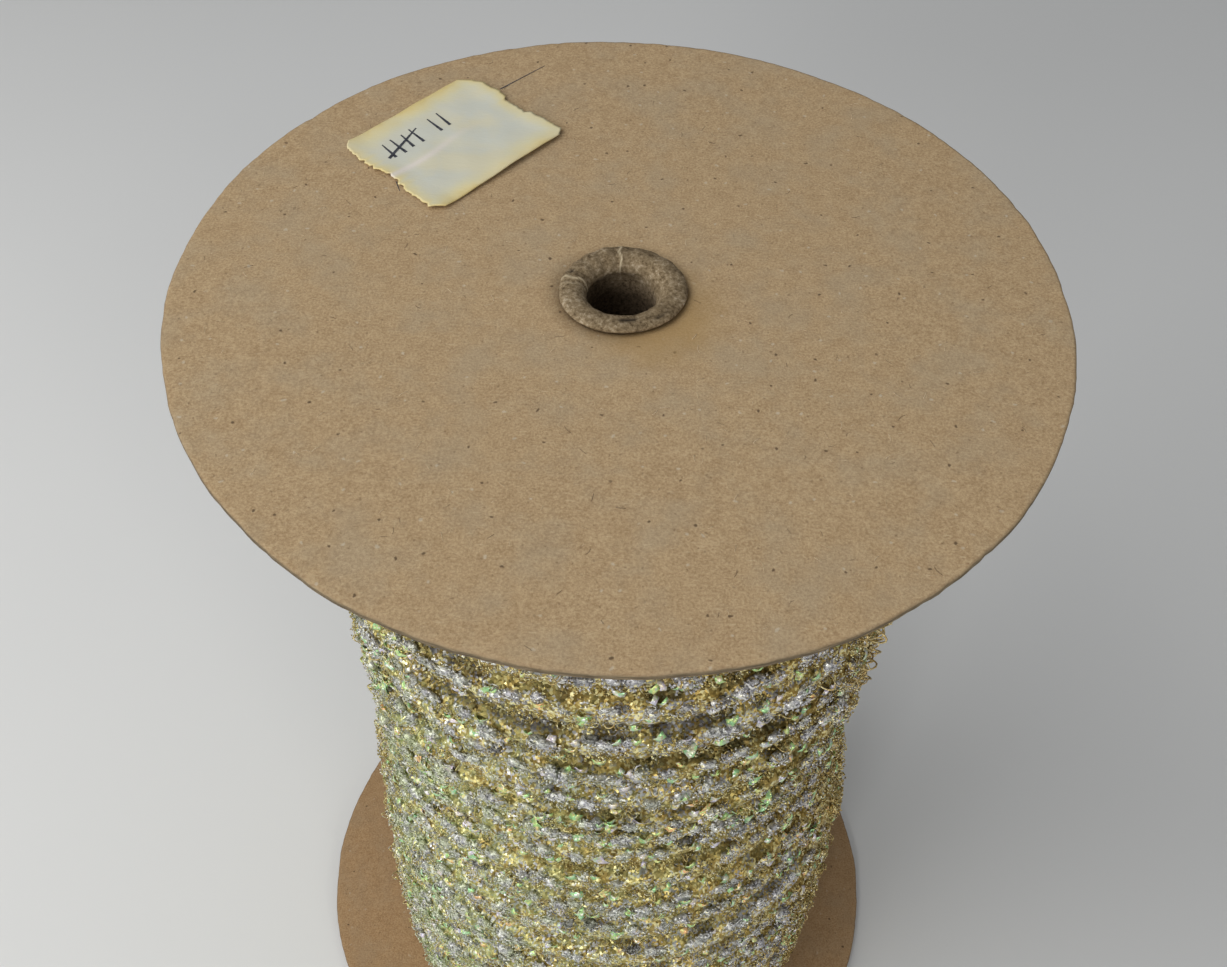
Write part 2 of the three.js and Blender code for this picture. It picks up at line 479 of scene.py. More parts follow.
def scattered(name, shapes, points, out, up, stretch, tint, material, seed, size=1.0):
    """A plain mesh of small shapes set on points, with a tint for each of them."""
    carrier = mesh_object(name + "_points", points, [], None)
    for label, values in (("out", out), ("up", up), ("stretch", stretch)):
        layer = carrier.data.attributes.new(label, "FLOAT_VECTOR", "POINT")
        layer.data.foreach_set("vector", np.asarray(values, dtype=np.float32).ravel())
    set_attribute(carrier, "tint", tint)
    modifier = carrier.modifiers.new("scatter", "NODES")
    modifier.node_group = SCATTER
    sockets = {s.name: s.identifier for s in SCATTER.interface.items_tree if s.in_out == "INPUT"}
    for label, value in (("Shapes", shapes), ("Finish", material), ("Size", size), ("Seed", seed)):
        modifier[sockets[label]] = value
    bpy.context.view_layer.update()
    graph = bpy.context.evaluated_depsgraph_get()
    mesh = bpy.data.meshes.new_from_object(
        carrier.evaluated_get(graph), preserve_all_data_layers=True, depsgraph=graph)
    bpy.data.objects.remove(carrier)
    mesh.name = name
    mesh.polygons.foreach_set("use_smooth", [True] * len(mesh.polygons))
    for label in [layer.name for layer in mesh.attributes if layer.name in ("out", "up", "stretch")]:
        mesh.attributes.remove(mesh.attributes[label])
    return placed(name, mesh)


# Materials

class Nodes:
    """A material's node tree, built by short calls."""

    def __init__(self, name):
        self.material = bpy.data.materials.new(name)
        self.material.use_nodes = True
        self.tree = self.material.node_tree
        self.tree.nodes.clear()
        self.shader = self.node("ShaderNodeBsdfPrincipled")
        output = self.node("ShaderNodeOutputMaterial")
        self.tree.links.new(self.shader.outputs[0], output.inputs["Surface"])
        self.place = self.node("ShaderNodeTexCoord").outputs["Object"]

    def node(self, kind, **settings):
        node = self.tree.nodes.new(kind)
        for key, value in settings.items():
            setattr(node, key, value)
        return node

    def feed(self, socket, value):
        if isinstance(value, bpy.types.NodeSocket):
            self.tree.links.new(value, socket)
        else:
            socket.default_value = value

    def finished(self, colour, roughness, normal=None, specular=0.5, metallic=0.0):
        """Sets the shader's own sockets and hands over the material."""
        self.feed(self.shader.inputs["Base Color"], colour)
        self.feed(self.shader.inputs["Roughness"], roughness)
        self.feed(self.shader.inputs["Specular IOR Level"], specular)
        self.feed(self.shader.inputs["Metallic"], metallic)
        if normal is not None:
            self.feed(self.shader.inputs["Normal"], normal)
        return self.material

    def attribute(self, name):
        return self.node("ShaderNodeAttribute", attribute_name=name).outputs["Fac"]

    def noise(self, scale, detail=2.0, roughness=0.5, place=None, distortion=0.0):
        node = self.node("ShaderNodeTexNoise")
        self.feed(node.inputs["Vector"], place or self.place)
        node.inputs["Scale"].default_value = scale
        node.inputs["Detail"].default_value = detail
        node.inputs["Roughness"].default_value = roughness
        node.inputs["Distortion"].default_value = distortion
        return node.outputs[0]

    def bent(self, scale, reach):
        """The place on the piece, bent to and fro by a soft noise."""
        node = self.node("ShaderNodeTexNoise")
        self.feed(node.inputs["Vector"], self.place)
        node.inputs["Scale"].default_value = scale
        sway = self.vector("SUBTRACT", node.outputs[1], (0.5, 0.5, 0.5))
        return self.vector("ADD", self.place, self.vector("SCALE", sway, scale=reach))

    def cells(self, scale, place=None, flat=False):
        node = self.node("ShaderNodeTexVoronoi", voronoi_dimensions="2D" if flat else "3D")
        self.feed(node.inputs["Vector"], place or self.place)
        node.inputs["Scale"].default_value = scale
        return node

    def stretched(self, scale, turn=(0.0, 0.0, 0.0)):
        node = self.node("ShaderNodeMapping")
        self.feed(node.inputs["Vector"], self.place)
        node.inputs["Rotation"].default_value = turn
        node.inputs["Scale"].default_value = scale
        return node.outputs[0]

    def math(self, operation, first, second=0.0, clamp=False):
        node = self.node("ShaderNodeMath", operation=operation, use_clamp=clamp)
        self.feed(node.inputs[0], first)
        self.feed(node.inputs[1], second)
        return node.outputs[0]

    def slope(self, value, start, steepness, clamp=False):
        """A straight rise or fall with a value, nought at its start."""
        return self.math("MULTIPLY", self.math("SUBTRACT", value, start), steepness, clamp=clamp)

    def sum(self, first, first_share, second, second_share):
        """Two values added up, each by its share."""
        return self.math(
            "ADD", self.math("MULTIPLY", first, first_share), self.math("MULTIPLY", second, second_share))

    def chances(self, cells):
        """Three chance numbers between 0 and 1 for each cell."""
        node = self.node("ShaderNodeSeparateColor")
        self.feed(node.inputs[0], cells.outputs["Color"])
        return node.outputs

    def vector(self, operation, first, second=(0.0, 0.0, 0.0), scale=None):
        node = self.node("ShaderNodeVectorMath", operation=operation)
        self.feed(node.inputs[0], first)
        if scale is not None:
            self.feed(node.inputs["Scale"], scale)
        else:
            self.feed(node.inputs[1], second)
        return node.outputs["Value" if operation == "DISTANCE" else "Vector"]

    def ramp(self, value, *stops):
        """Colours or greys by a value: each stop is a place and a colour or number."""
        node = self.node("ShaderNodeValToRGB")
        self.feed(node.inputs[0], value)
        band = node.color_ramp
        while len(band.elements) < len(stops):
            band.elements.new(1.0)
        for element, (spot, colour) in zip(band.elements, stops):
            element.position = spot
            colour = colour if isinstance(colour, tuple) else (colour,) * 3
            element.color = (*colour, 1.0)
        return node.outputs["Color"]

    def mix(self, share, first, second, blend="MIX"):
        node = self.node("ShaderNodeMix", data_type="RGBA", blend_type=blend)
        self.feed(node.inputs["Factor"], share)
        for socket, value in ((node.inputs[6], first), (node.inputs[7], second)):
            self.feed(socket, (*value, 1.0) if isinstance(value, tuple) and len(value) == 3 else value)
        return node.outputs[2]

    def bump(self, height, distance, strength, below=None):
        node = self.node("ShaderNodeBump")
        node.inputs["Strength"].default_value = strength
        node.inputs["Distance"].default_value = distance
        self.feed(node.inputs["Height"], height)
        if below is not None:
            self.feed(node.inputs["Normal"], below)
        return node.outputs[0]

    def facets(self, cells, tilt):
        """Turns each cell's surface its own way, as crumpled foil does."""
        plain = self.node("ShaderNodeNewGeometry").outputs["Normal"]
        swing = self.vector("SUBTRACT", cells.outputs["Color"], (0.5, 0.5, 0.5))
        return self.vector("NORMALIZE", self.vector("ADD", plain, self.vector("SCALE", swing, scale=tilt)))


KRAFT_PALE = (0.52, 0.385, 0.225)
KRAFT_MID = (0.43, 0.302, 0.168)
KRAFT_DARK = (0.33, 0.220, 0.115)
KRAFT_GREY = (0.37, 0.315, 0.225)
# The cut edge's grey-brown, darkened further as painted shade
KRAFT_EDGE = (0.155, 0.118, 0.070)
PALE_FIBRE = (0.60, 0.48, 0.31)
DARK_FIBRE = (0.27, 0.18, 0.10)
# Dark specks of bark and pale ones of bleached pulp: how many cells to a metre, the chance value
# below which a cell has a speck, its reach in its cell, its strength and its colour
BOARD_SPECKS = (
    (135, 0.44, 0.044, 0.85, (0.10, 0.062, 0.034)),
    (172, 0.46, 0.060, 0.42, (0.60, 0.55, 0.44)),
    (290, 0.46, 0.070, 0.55, (0.20, 0.13, 0.07)),
)


def kraft_face(nodes, with_hub_shadow):
    """The brown of the board, with its fine grain, fibres, grey clouds and specks, and on the upper board a
    painted shadow of the tube at the hub.
    """
    mottle = nodes.noise(420, 3.0, 0.6)
    grain = nodes.noise(2300, 3.0, 0.75)
    colour = nodes.ramp(
        nodes.sum(mottle, 0.22, grain, 0.78), (0.37, KRAFT_DARK), (0.5, KRAFT_MID), (0.63, KRAFT_PALE))
    cloud = nodes.ramp(nodes.noise(95, 4.0, 0.6), (0.46, 0.0), (0.66, 0.30))
    colour = nodes.mix(cloud, colour, KRAFT_GREY)
    for angle, fibre in ((0.3, PALE_FIBRE), (1.2, DARK_FIBRE), (2.2, PALE_FIBRE)):
        lying = nodes.stretched((620, 3600, 3600), (0, 0, angle))
        hairs = nodes.noise(1.0, 1.0, 0.5, place=lying, distortion=0.4)
        colour = nodes.mix(nodes.ramp(hairs, (0.69, 0.0), (0.80, 0.5)), colour, fibre)
    bent = nodes.bent(700, 1.2 * MM)
    for count, limit, reach, strength, speck in BOARD_SPECKS:
        flecks = nodes.cells(count, bent, flat=True)
        rare = nodes.ramp(flecks.outputs["Color"], (limit - 0.05, strength), (limit + 0.05, 0.0))
        spot = nodes.ramp(flecks.outputs["Distance"], (reach * 0.5, 1.0), (reach, 0.0))
        colour = nodes.mix(nodes.math("MULTIPLY", rare, spot), colour, speck)
    # Painted shadow of the tube on the board: an orange-brown patch round the hub, to its front right, with
    # a ragged edge
    if with_hub_shadow:
        away = nodes.vector("DISTANCE", nodes.place, (5.5 * MM, -5.5 * MM, UPPER_FACE))
        ragged = nodes.sum(away, 40.0, nodes.noise(240, 3.0), 0.28)
        hub_shadow = nodes.ramp(ragged, (0.40, 0.75), (0.70, 0.0))
        colour = nodes.mix(hub_shadow, colour, (0.38, 0.245, 0.10))
    return colour, grain, mottle


def board_material(name, with_hub_shadow, shade=(1.0, 1.0, 1.0)):
    """Kraft chipboard, brown on its faces and grey-brown on its cut edge."""
    nodes = Nodes(name)
    colour, grain, mottle = kraft_face(nodes, with_hub_shadow)
    # Painted shade: the lower board is multiplied darker and warmer for the shade it lies in, below the
    # upper flange and the winding
    colour = nodes.mix(1.0, colour, shade, "MULTIPLY")
    plies = nodes.noise(1.0, 2.0, 0.7, place=nodes.stretched((350, 350, 5200)))
    # The cut edge: grey-brown plies, darkened further as painted shade on the edge
    edge = nodes.ramp(plies, (0.35, (0.075, 0.058, 0.036)), (0.55, KRAFT_EDGE), (0.72, (0.27, 0.21, 0.13)))
    colour = nodes.mix(nodes.attribute("edge"), colour, edge)
    relief = nodes.bump(mottle, 0.3 * MM, 0.25, nodes.bump(grain, 0.1 * MM, 0.6))
    return nodes.finished(colour, 0.86, relief, specular=0.28)


def tube_material():
    """Rolled brown paper, worn and cracked at the lip, with painted shade in its gouges and down the bore.
    """
    nodes = Nodes("rolled paper")
    speckle = nodes.noise(1500, 3.0, 0.75)
    blotch = nodes.noise(330, 3.0, 0.6)
    colour = nodes.ramp(
        nodes.sum(speckle, 0.65, blotch, 0.35),
        (0.36, (0.075, 0.050, 0.026)), (0.46, (0.175, 0.126, 0.070)),
        (0.56, (0.27, 0.205, 0.125)), (0.68, (0.46, 0.385, 0.28)))
    colour = nodes.mix(nodes.attribute("crack"), colour, (0.56, 0.47, 0.32))
    # Near black in the gouges: painted shade in their dents
    colour = nodes.mix(nodes.attribute("gouge"), colour, (0.022, 0.015, 0.009))
    # Painted shade down the bore, darker the deeper it goes
    wall = nodes.ramp(speckle, (0.35, (0.040, 0.027, 0.015)), (0.65, (0.14, 0.10, 0.062)))
    colour = nodes.mix(nodes.attribute("bore"), colour, wall)
    relief = nodes.bump(speckle, 0.25 * MM, 0.6, nodes.bump(blotch, 0.6 * MM, 0.5))
    return nodes.finished(colour, 0.9, relief, specular=0.2)


def tape_material():
    """Old paper tape: cream, yellowed along its edges and greyed where fingers rubbed it."""
    nodes = Nodes("paper tape")
    cloud = nodes.noise(160, 3.0, 0.6)
    inward = nodes.math("ADD", nodes.attribute("inward"), nodes.slope(cloud, 0.5, 0.5))
    colour = nodes.ramp(
        inward, (0.0, (0.68, 0.55, 0.24)), (0.14, (0.72, 0.63, 0.35)), (0.32, (0.68, 0.64, 0.44)),
        (0.50, (0.64, 0.63, 0.51)), (0.85, (0.61, 0.62, 0.54)))
    yellowed = nodes.ramp(nodes.noise(105, 3.0), (0.50, 0.0), (0.68, 0.65))
    colour = nodes.mix(yellowed, colour, (0.69, 0.635, 0.435))
    # Paler along the crease: a painted highlight on its ridge
    colour = nodes.mix(nodes.attribute("crease"), colour, (0.76, 0.70, 0.64))
    crepe = nodes.noise(1.0, 3.0, 0.6, place=nodes.stretched((500, 1400, 500), (0, 0, -TAPE_TURN)))
    return nodes.finished(colour, 0.5, nodes.bump(crepe, 0.12 * MM, 0.35), specular=0.45)


def ink_material():
    nodes = Nodes("pen ink")
    streak = nodes.noise(1500, 2.0)
    return nodes.finished(
        nodes.ramp(streak, (0.35, (0.018, 0.020, 0.030)), (0.75, (0.075, 0.078, 0.095))), 0.6)


# The colour of the painted shade in the grooves
CREVICE = (0.026, 0.020, 0.010)
# Tones of silver and gold by a grain's chance; the brightest, white and pale gold, are the foil's bright
# colour and also painted glints on single grains
SILVER_TONES = (
    (0.0, (0.22, 0.215, 0.24)), (0.25, (0.41, 0.405, 0.45)),
    (0.60, (0.58, 0.58, 0.63)), (0.68, (1.0, 1.0, 0.97)))
GOLD_TONES = (
    (0.0, (0.10, 0.065, 0.015)), (0.3, (0.29, 0.19, 0.045)), (0.60, (0.53, 0.38, 0.12)),
    (0.68, (1.0, 0.86, 0.36)), (0.95, (1.0, 0.97, 0.66)))
COPPER_TONES = ((0.0, (0.36, 0.23, 0.08)), (0.5, (0.70, 0.52, 0.21)), (1.0, (0.95, 0.84, 0.48)))
LIME = (0.57, 0.66, 0.28)
FUZZ = (0.76, 0.58, 0.26)
FILM_TONES = (
    (0.0, (0.88, 0.50, 0.22)), (0.07, (0.94, 0.84, 0.34)), (0.16, (0.74, 0.82, 0.30)),
    (0.34, (0.46, 0.74, 0.28)), (0.54, (0.36, 0.70, 0.38)), (0.68, (0.74, 0.76, 0.54)),
    (0.80, (0.62, 0.62, 0.78)), (0.92, (0.74, 0.64, 0.76)), (1.0, (0.90, 0.84, 0.74)))
GRAIN = 0.5 * MM
FILM_CRUMPLE = 0.55 * MM
# Where the trim's colours begin or end: the gold at both sides, the green below the upper face and
# towards the right, and the deepest shade below the upper face
GOLD_SIDES = 46 * MM
GREEN_BELOW = 16 * MM
GREEN_RIGHT = 50 * MM
DARK_ABOVE = 85 * MM


def tinsel_material(name, silver, metal=0.4, gloss=0.5, tones=GOLD_TONES):
    """Crimped metallic yarn: fine grains that each turn their own way, some silver and some gold.

    A point's tint is its own chance between 0 and 1, and falls below 0 into the shade between turns.
    """
    nodes = Nodes(name)
    grains = nodes.cells(1 / GRAIN)
    tone, metal_kind, _ = nodes.chances(grains)
    tint = nodes.attribute("tint")
    pick = nodes.sum(nodes.math("MAXIMUM", tint, 0.0), 0.2, tone, 0.8)
    place = nodes.node("ShaderNodeSeparateXYZ")
    nodes.feed(place.inputs[0], nodes.place)
    across, _, height = place.outputs
    # Patches a few millimetres wide and bands along the turns, where one metal or the other shows
    # more, with more gold towards both sides and to the right
    patch = nodes.slope(nodes.noise(230, 2.0), 0.5, 1.4)
    band = nodes.noise(1.0, 2.0, 0.5, place=nodes.stretched((16, 16, 70)))
    patch = nodes.math("ADD", patch, nodes.slope(band, 0.5, 1.5))
    sides = nodes.slope(nodes.math("ABSOLUTE", across), GOLD_SIDES, 90.0, clamp=True)
    golden = nodes.sum(across, 2.4, sides, 1.15)
    kind = nodes.math("ADD", metal_kind, patch)
    kind = nodes.math("ADD", kind, nodes.math("SUBTRACT", silver - 0.5, golden))
    is_silver = nodes.ramp(kind, (0.44, 0.0), (0.56, 1.0))
    colour = nodes.mix(is_silver, nodes.ramp(pick, *tones), nodes.ramp(pick, *SILVER_TONES))
    # The film colours the yarn green, more so low down and on the left
    lower = nodes.slope(height, UPPER_FACE - GREEN_BELOW, -14.0, clamp=True)
    lower = nodes.math("SUBTRACT", lower, nodes.math("MULTIPLY", sides, 0.9), clamp=True)
    left = nodes.slope(across, GREEN_RIGHT, -9.0, clamp=True)
    glow = nodes.ramp(nodes.noise(300, 2.0), (0.38, 0.10), (0.62, 0.75))
    colour = nodes.mix(nodes.math("MULTIPLY", glow, nodes.math("MULTIPLY", lower, left)), colour, LIME)
    # Lighter gold at both sides: loose gold thread that stands proud there, and a painted sheen on the
    # winding's sides
    colour = nodes.mix(nodes.math("MULTIPLY", sides, 0.22), colour, FUZZ)
    # Deep shade in the grooves, darkest near the upper flange
    upper = nodes.slope(height, UPPER_FACE - DARK_ABOVE, 16.0, clamp=True)
    strength = nodes.math("ADD", nodes.math("MULTIPLY", upper, 0.30), 0.68)
    shade = nodes.math("MULTIPLY", nodes.math("MULTIPLY", tint, -1.0, clamp=True), strength)
    colour = nodes.mix(shade, colour, CREVICE)
    return nodes.finished(colour, 0.3, nodes.facets(grains, 0.9), specular=gloss, metallic=metal)


def film_material():
    """Pearly film: mostly green, with lavender, blue and the odd yellow or orange flash."""
    nodes = Nodes("pearly film")
    crumple = nodes.cells(1 / FILM_CRUMPLE)
    hue, thread_kind, metal_kind = nodes.chances(crumple)
    flash = nodes.math("ADD", nodes.attribute("tint"), nodes.slope(hue, 0.5, 0.34))
    thread = nodes.ramp(thread_kind, (0.62, 0.0), (0.68, 0.85))
    metal = nodes.ramp(metal_kind, (0.2, (0.74, 0.62, 0.24)), (0.8, (0.92, 0.91, 0.88)))
    colour = nodes.mix(thread, nodes.ramp(flash, *FILM_TONES), metal)
    return nodes.finished(colour, 0.28, nodes.facets(crumple, 0.7), metallic=0.35)


def fibre_material():
    nodes = Nodes("paper fibre")
    colour = nodes.ramp(
        nodes.attribute("tint"), (0.0, (0.10, 0.065, 0.035)), (0.32, (0.15, 0.10, 0.055)),
        (0.36, (0.58, 0.45, 0.28)), (1.0, (0.74, 0.62, 0.44)))
    return nodes.finished(colour, 0.8)


# The board flanges

# Nicks in their rims: angle, half width, and depth in millimetres
RIM_NICKS = ((3.72, 0.016, 0.15), (5.52, 0.03, 0.15), (2.5, 0.012, 0.3), (0.35, 0.02, 0.2))


def warp_lift(angle, radius):
    """How far a flange's face bends out of flat towards its rim."""
    warp = (0.35 * np.sin(2 * angle + 0.9) + 0.15 * np.sin(3 * angle + 2.0)) * MM
    return warp * smoothstep(0.35, 1, radius / FLANGE_RADIUS)


def flange_piece(name, node, material, seed):
    """A board disc with a slight warp and a soft, nicked cut edge."""
    rng = np.random.default_rng(seed)
    low, high = (Vector(corner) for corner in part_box(node))
    columns = 320
    angle = round_angles(columns)
    fray = sum(
        rng.normal(0, 0.05) * np.sin(k * angle + rng.uniform(0, TAU)) for k in (7, 13, 19, 31, 47))
    fray = fray + rng.normal(0, 0.045, columns)
    for spot, width, depth in RIM_NICKS:
        fray = fray - depth * np.exp(-((angle - spot) / width) ** 2)
    fray = fray * MM
    fuzz = rng.normal(0, 0.03 * MM, (2, columns))
    inner = np.linspace(HOLE_RADIUS, FLANGE_RADIUS - 1.2 * MM, 13)
    rounding = ((0.5, 0.0, 0.0), (0.12, 0.06, 0.35), (-0.02, 0.28, 0.9), (0.0, 0.55, 1.0))
    rows = [(radius, 0.0, 0.0, 0.0) for radius in inner]
    rows += [(FLANGE_RADIUS - inset * MM, sink * MM, edge, 1.0) for inset, sink, edge in rounding]
    points, edges = [], []
    for top in (True, False):
        for radius, sink, edge, loose in (rows if top else rows[::-1]):
            reach = radius + (fray * smoothstep(0, 1, loose) if loose else 0)
            bend = warp_lift(angle, radius)
            height = (high.z - sink if top else low.z + sink) + bend
            if loose:
                height = height + fuzz[0 if top else 1]
            points.append(polar(reach, angle, height))
            edges.append(np.full(columns, edge))
    points = np.concatenate(points)
    faces = ring_faces(2 * len(rows), columns)[:, ::-1]
    piece = mesh_object(name, points, faces, material)
    set_attribute(piece, "edge", np.concatenate(edges))
    dress(piece, stands_for=(node,))


# The rolled paper tube

# Share of a lip's height that lies above its widest part
ROUND_SHARE = 0.56
# Each crack: its angle, half width and strength
CRACKS = ((1.66, 0.018, 1.0), (2.97, 0.022, 0.8), (3.12, 0.020, 0.4))
# Each gouge: its angle, half width, row of the profile and strength
GOUGES = ((4.84, 0.17, 13.0, 1.7), (5.45, 0.13, 11.0, 0.8), (2.78, 0.05, 11.0, 1.4))
LIP_SHIFT = np.array([0.3, -0.35, 0]) * MM


def tube_piece(material):
    """The tube with its two rolled lips, oval and wrinkled as rolled paper is."""
    rng = np.random.default_rng(41)
    columns = 200
    angle = round_angles(columns)
    profile, lip_share = [], []
    under = UPPER_FACE + 0.12 * MM
    crown = TUBE_HIGH.z - under
    middle = (LIP_RADIUS + BORE_RADIUS) / 2
    half = (LIP_RADIUS - BORE_RADIUS) / 2
    inner_fall = 2.7 * MM
    steps, first, sweep = 18, -62, 242
    for i in range(steps + 1):
        turn = math.radians(first + sweep * i / steps)
        if math.cos(turn) > 0:
            height = under + crown * (1 - ROUND_SHARE + ROUND_SHARE * math.sin(turn))
        else:
            height = under + crown - inner_fall * (1 - math.sin(turn))
        profile.append((middle + half * math.cos(turn), height))
        lip_share.append(1.0)
    for depth in (3, 5, 8, 12, 18, 28, 45, 70, 100):
        profile.append((BORE_RADIUS, TUBE_HIGH.z - depth * MM))
        lip_share.append(0.0)
    upper = [(TUBE_RADIUS, under - 3 * MM), (TUBE_RADIUS, under - 0.3 * MM)] + profile
    lip_share = [0.0, 0.0] + lip_share
    centre = (TUBE_LOW.z + TUBE_HIGH.z) / 2
    rows = upper + [(radius, 2 * centre - height) for radius, height in reversed(upper)]
    shares = np.array(lip_share + lip_share[::-1])
    radius = np.array([row[0] for row in rows])[:, None]
    height = np.array([row[1] for row in rows])[:, None]
    lip = shares[:, None]
    oval = 1 + 0.022 * np.cos(2 * (angle - 0.5)) + 0.01 * np.cos(3 * angle + 1.0)
    wrinkle = MM * sum(
        rng.normal(0, 0.022) * np.sin(k * angle + rng.uniform(0, TAU)) for k in range(3, 22))
    rough = rng.normal(0, 0.018 * MM, (len(rows), columns)) * lip
    outward = np.sign(height - centre)
    facing = np.where(radius > middle, 1, -0.5)
    grown = radius * (1 + (oval - 1) * lip) + (wrinkle * 0.6 + rough) * lip * facing
    risen = height + (wrinkle * 0.8 + rough) * lip * outward
    crack = np.zeros((len(rows), columns))
    gouge = np.zeros((len(rows), columns))
    top = (height > centre) * lip
    for spot, width, strength in CRACKS:
        line = np.exp(-((angle - spot - 0.025 * np.sin(radius * 2400)) / width) ** 2) * strength
        crack = np.maximum(crack, line * top)
    # Gouges: dents in the lip, which the material darkens with painted shade
    for spot, width, row, strength in GOUGES:
        line = np.exp(-((angle - spot) / width) ** 2) * strength
        line = line * np.exp(-((np.arange(len(rows))[:, None] - row) / 0.8) ** 2)
        gouge = np.maximum(gouge, np.minimum(line, 1) * top)
    risen = risen - 0.3 * MM * gouge + 0.08 * MM * crack
    risen = np.maximum(risen, 0)
    # The lips are rolled a little off the tube's axis
    points = polar(grown, angle, risen) + lip[..., None] * LIP_SHIFT
    faces = ring_faces(len(rows), columns)
    piece = mesh_object("rolled_tube", points.reshape(-1, 3), faces, material)
    # How far down the bore a point lies, for the painted shade there
    depth = np.clip((TUBE_HIGH.z - 2.2 * MM - height) / (4 * MM), 0, 1) * (radius < TUBE_RADIUS)
    set_attribute(piece, "crack", crack.ravel())
    set_attribute(piece, "gouge", gouge.ravel())
    set_attribute(piece, "bore", (depth * np.ones(columns)).ravel())
    dress(piece, stands_for=("core_tube",))


# The paper tape

# Half the tape's width and its thickness, in millimetres
TAPE_HALF = 13.5
TAPE_PAPER = 0.16
# Where each torn end lies, in millimetres: across the tape, and along it
TORN_LEFT = (
    (-13.5, -14.8), (-11.5, -16.8), (-8.1, -16.6), (-4.5, -16.4), (-1.4, -15.6), (1.2, -15.6),
    (3.8, -16.2), (6.6, -16.4), (9.3, -16.3), (12.0, -15.9), (13.5, -14.3),
)
TORN_RIGHT = (
    (-13.5, 14.7), (-12.2, 16.4), (-8.2, 16.6), (-5.9, 16.2), (-4.4, 16.4), (-3.7, 15.5), (0.4, 15.8),
    (2.1, 15.6), (2.8, 16.6), (5.3, 17.0), (7.0, 16.6), (9.4, 16.7), (11.8, 15.4), (13.5, 13.7),
)


def tape_place(along, across, height):
    """From the tape's own axes to the spool's."""
    c, s = math.cos(TAPE_TURN), math.sin(TAPE_TURN)
    return np.stack([
        TAPE_CENTRE.x + (along * c - across * s) * MM,
        TAPE_CENTRE.y + (along * s + across * c) * MM,
        UPPER_FACE + height * MM], axis=-1)


def tape_height(along, across):
    """How far the tape lifts off the board, in millimetres: its front edge curls, its crease stands up."""
    front = smoothstep(-9.5, -13.5, across) * (0.36 + 0.22 * np.sin(along * 0.19 + 0.5))
    back = smoothstep(10.0, 13.5, across) * (0.10 + 0.08 * np.sin(along * 0.3))
    torn = smoothstep(-11.5, -16.5, along) * 0.22 + smoothstep(12, 17, along) * 0.18
    crease = 0.08 * np.exp(-((across - crease_line(along)) / 0.9) ** 2) * smoothstep(12, -4, along)
    return 0.42 + front + back + torn + crease + 0.05 * np.sin(along * 0.7) * np.cos(across * 0.5)


def crease_line(along):
    return 0.2 + 0.045 * along + 0.3 * np.sin(along * 0.35 + 0.8)


def tape_piece(material):
    """The torn strip of tape, curled at its front edge and creased along its middle."""
    rng = np.random.default_rng(7)
    rows, columns = 66, 72
    across = np.linspace(-TAPE_HALF, TAPE_HALF, rows)
    ragged = 0.16
    jag = rng.normal(0, ragged, rows) + 0.22 * np.sin(across * 2.9) * rng.uniform(0.3, 1, rows)
    left = np.interp(across, *zip(*TORN_LEFT)) + jag * smoothstep(13.4, 11.3, np.abs(across))
    right = np.interp(across, *zip(*TORN_RIGHT)) + 0.6 * rng.normal(0, ragged, rows)
    share = np.linspace(0, 1, columns)
    along = left[:, None] + (right - left)[:, None] * share
    across = np.repeat(across[:, None], columns, axis=1)
    height = tape_height(along, across)
    top = tape_place(along, across, height).reshape(-1, 3)
    bottom = tape_place(along, across, height - TAPE_PAPER).reshape(-1, 3)
    row, column = np.meshgrid(np.arange(rows - 1), np.arange(columns - 1), indexing="ij")
    a = (row * columns + column).ravel()
    quads = np.stack([a, a + 1, a + 1 + columns, a + columns], axis=-1)
    count = rows * columns
    rim = list(range(columns)) + [r * columns + columns - 1 for r in range(1, rows)]
    rim += [count - 1 - c for c in range(1, columns)] + [r * columns for r in range(rows - 2, 0, -1)]
    walls = [(rim[i], rim[i - 1], rim[i - 1] + count, rim[i] + count) for i in range(len(rim))]
    faces = quads.tolist() + (quads[:, ::-1] + count).tolist() + walls
    piece = mesh_object("paper_tape", np.concatenate([top, bottom]), faces, material)
    to_side = TAPE_HALF - np.abs(across)
    to_end = np.minimum(along - left[:, None], right[:, None] - along)
    inward = np.clip(np.minimum(to_side, to_end * 1.6) / 9, 0, 1)
    # Where the material paints a highlight along the crease
    crease = np.exp(-((across - crease_line(along)) / 0.75) ** 2) * smoothstep(9, -9, along) * 0.9
    set_attribute(piece, "inward", np.tile(inward.ravel(), 2))
    set_attribute(piece, "crease", np.tile(crease.ravel(), 2))
    dress(piece, stands_for=("tape_label",))


def pen_stroke(bits, start, end, width):
    """A thin flat stroke between two points, tapered towards its far end."""
    start, end = Vector(start), Vector(end)
    ahead = (end - start).normalized()
    side = Vector((-ahead.y, ahead.x, 0))
    lift = Vector((0, 0, INK_THICKNESS))
    steps, taper = 6, 0.6
    sections = []
    for i in range(steps + 1):
        centre = start.lerp(end, i / steps)
        half = side * width / 2 * (1 - taper * i / steps)
        sections.append([centre - half, centre + half, centre + half + lift, centre - half + lift])
    bits.bar(sections)


# Pen strokes on the board, and the plain tally drawn on the tape: both ends of each stroke, in
# millimetres
BOARD_STROKES = (((-41.9, 27.3), (-40.9, 24.6)), ((-25.4, 57.7), (-17.2, 66.3)))
TALLY_STROKES = (
    ((-11.2, 3.6), (-10.6, 8.2)), ((-8.9, 3.4), (-8.5, 8.4)),
    ((-6.7, 3.7), (-6.0, 8.1)), ((-4.3, 3.5), (-3.9, 8.3)),
    ((-12.4, 4.2), (-2.6, 7.6)), ((0.4, 3.6), (0.8, 8.2)), ((2.7, 3.8), (3.3, 8.4)),
)


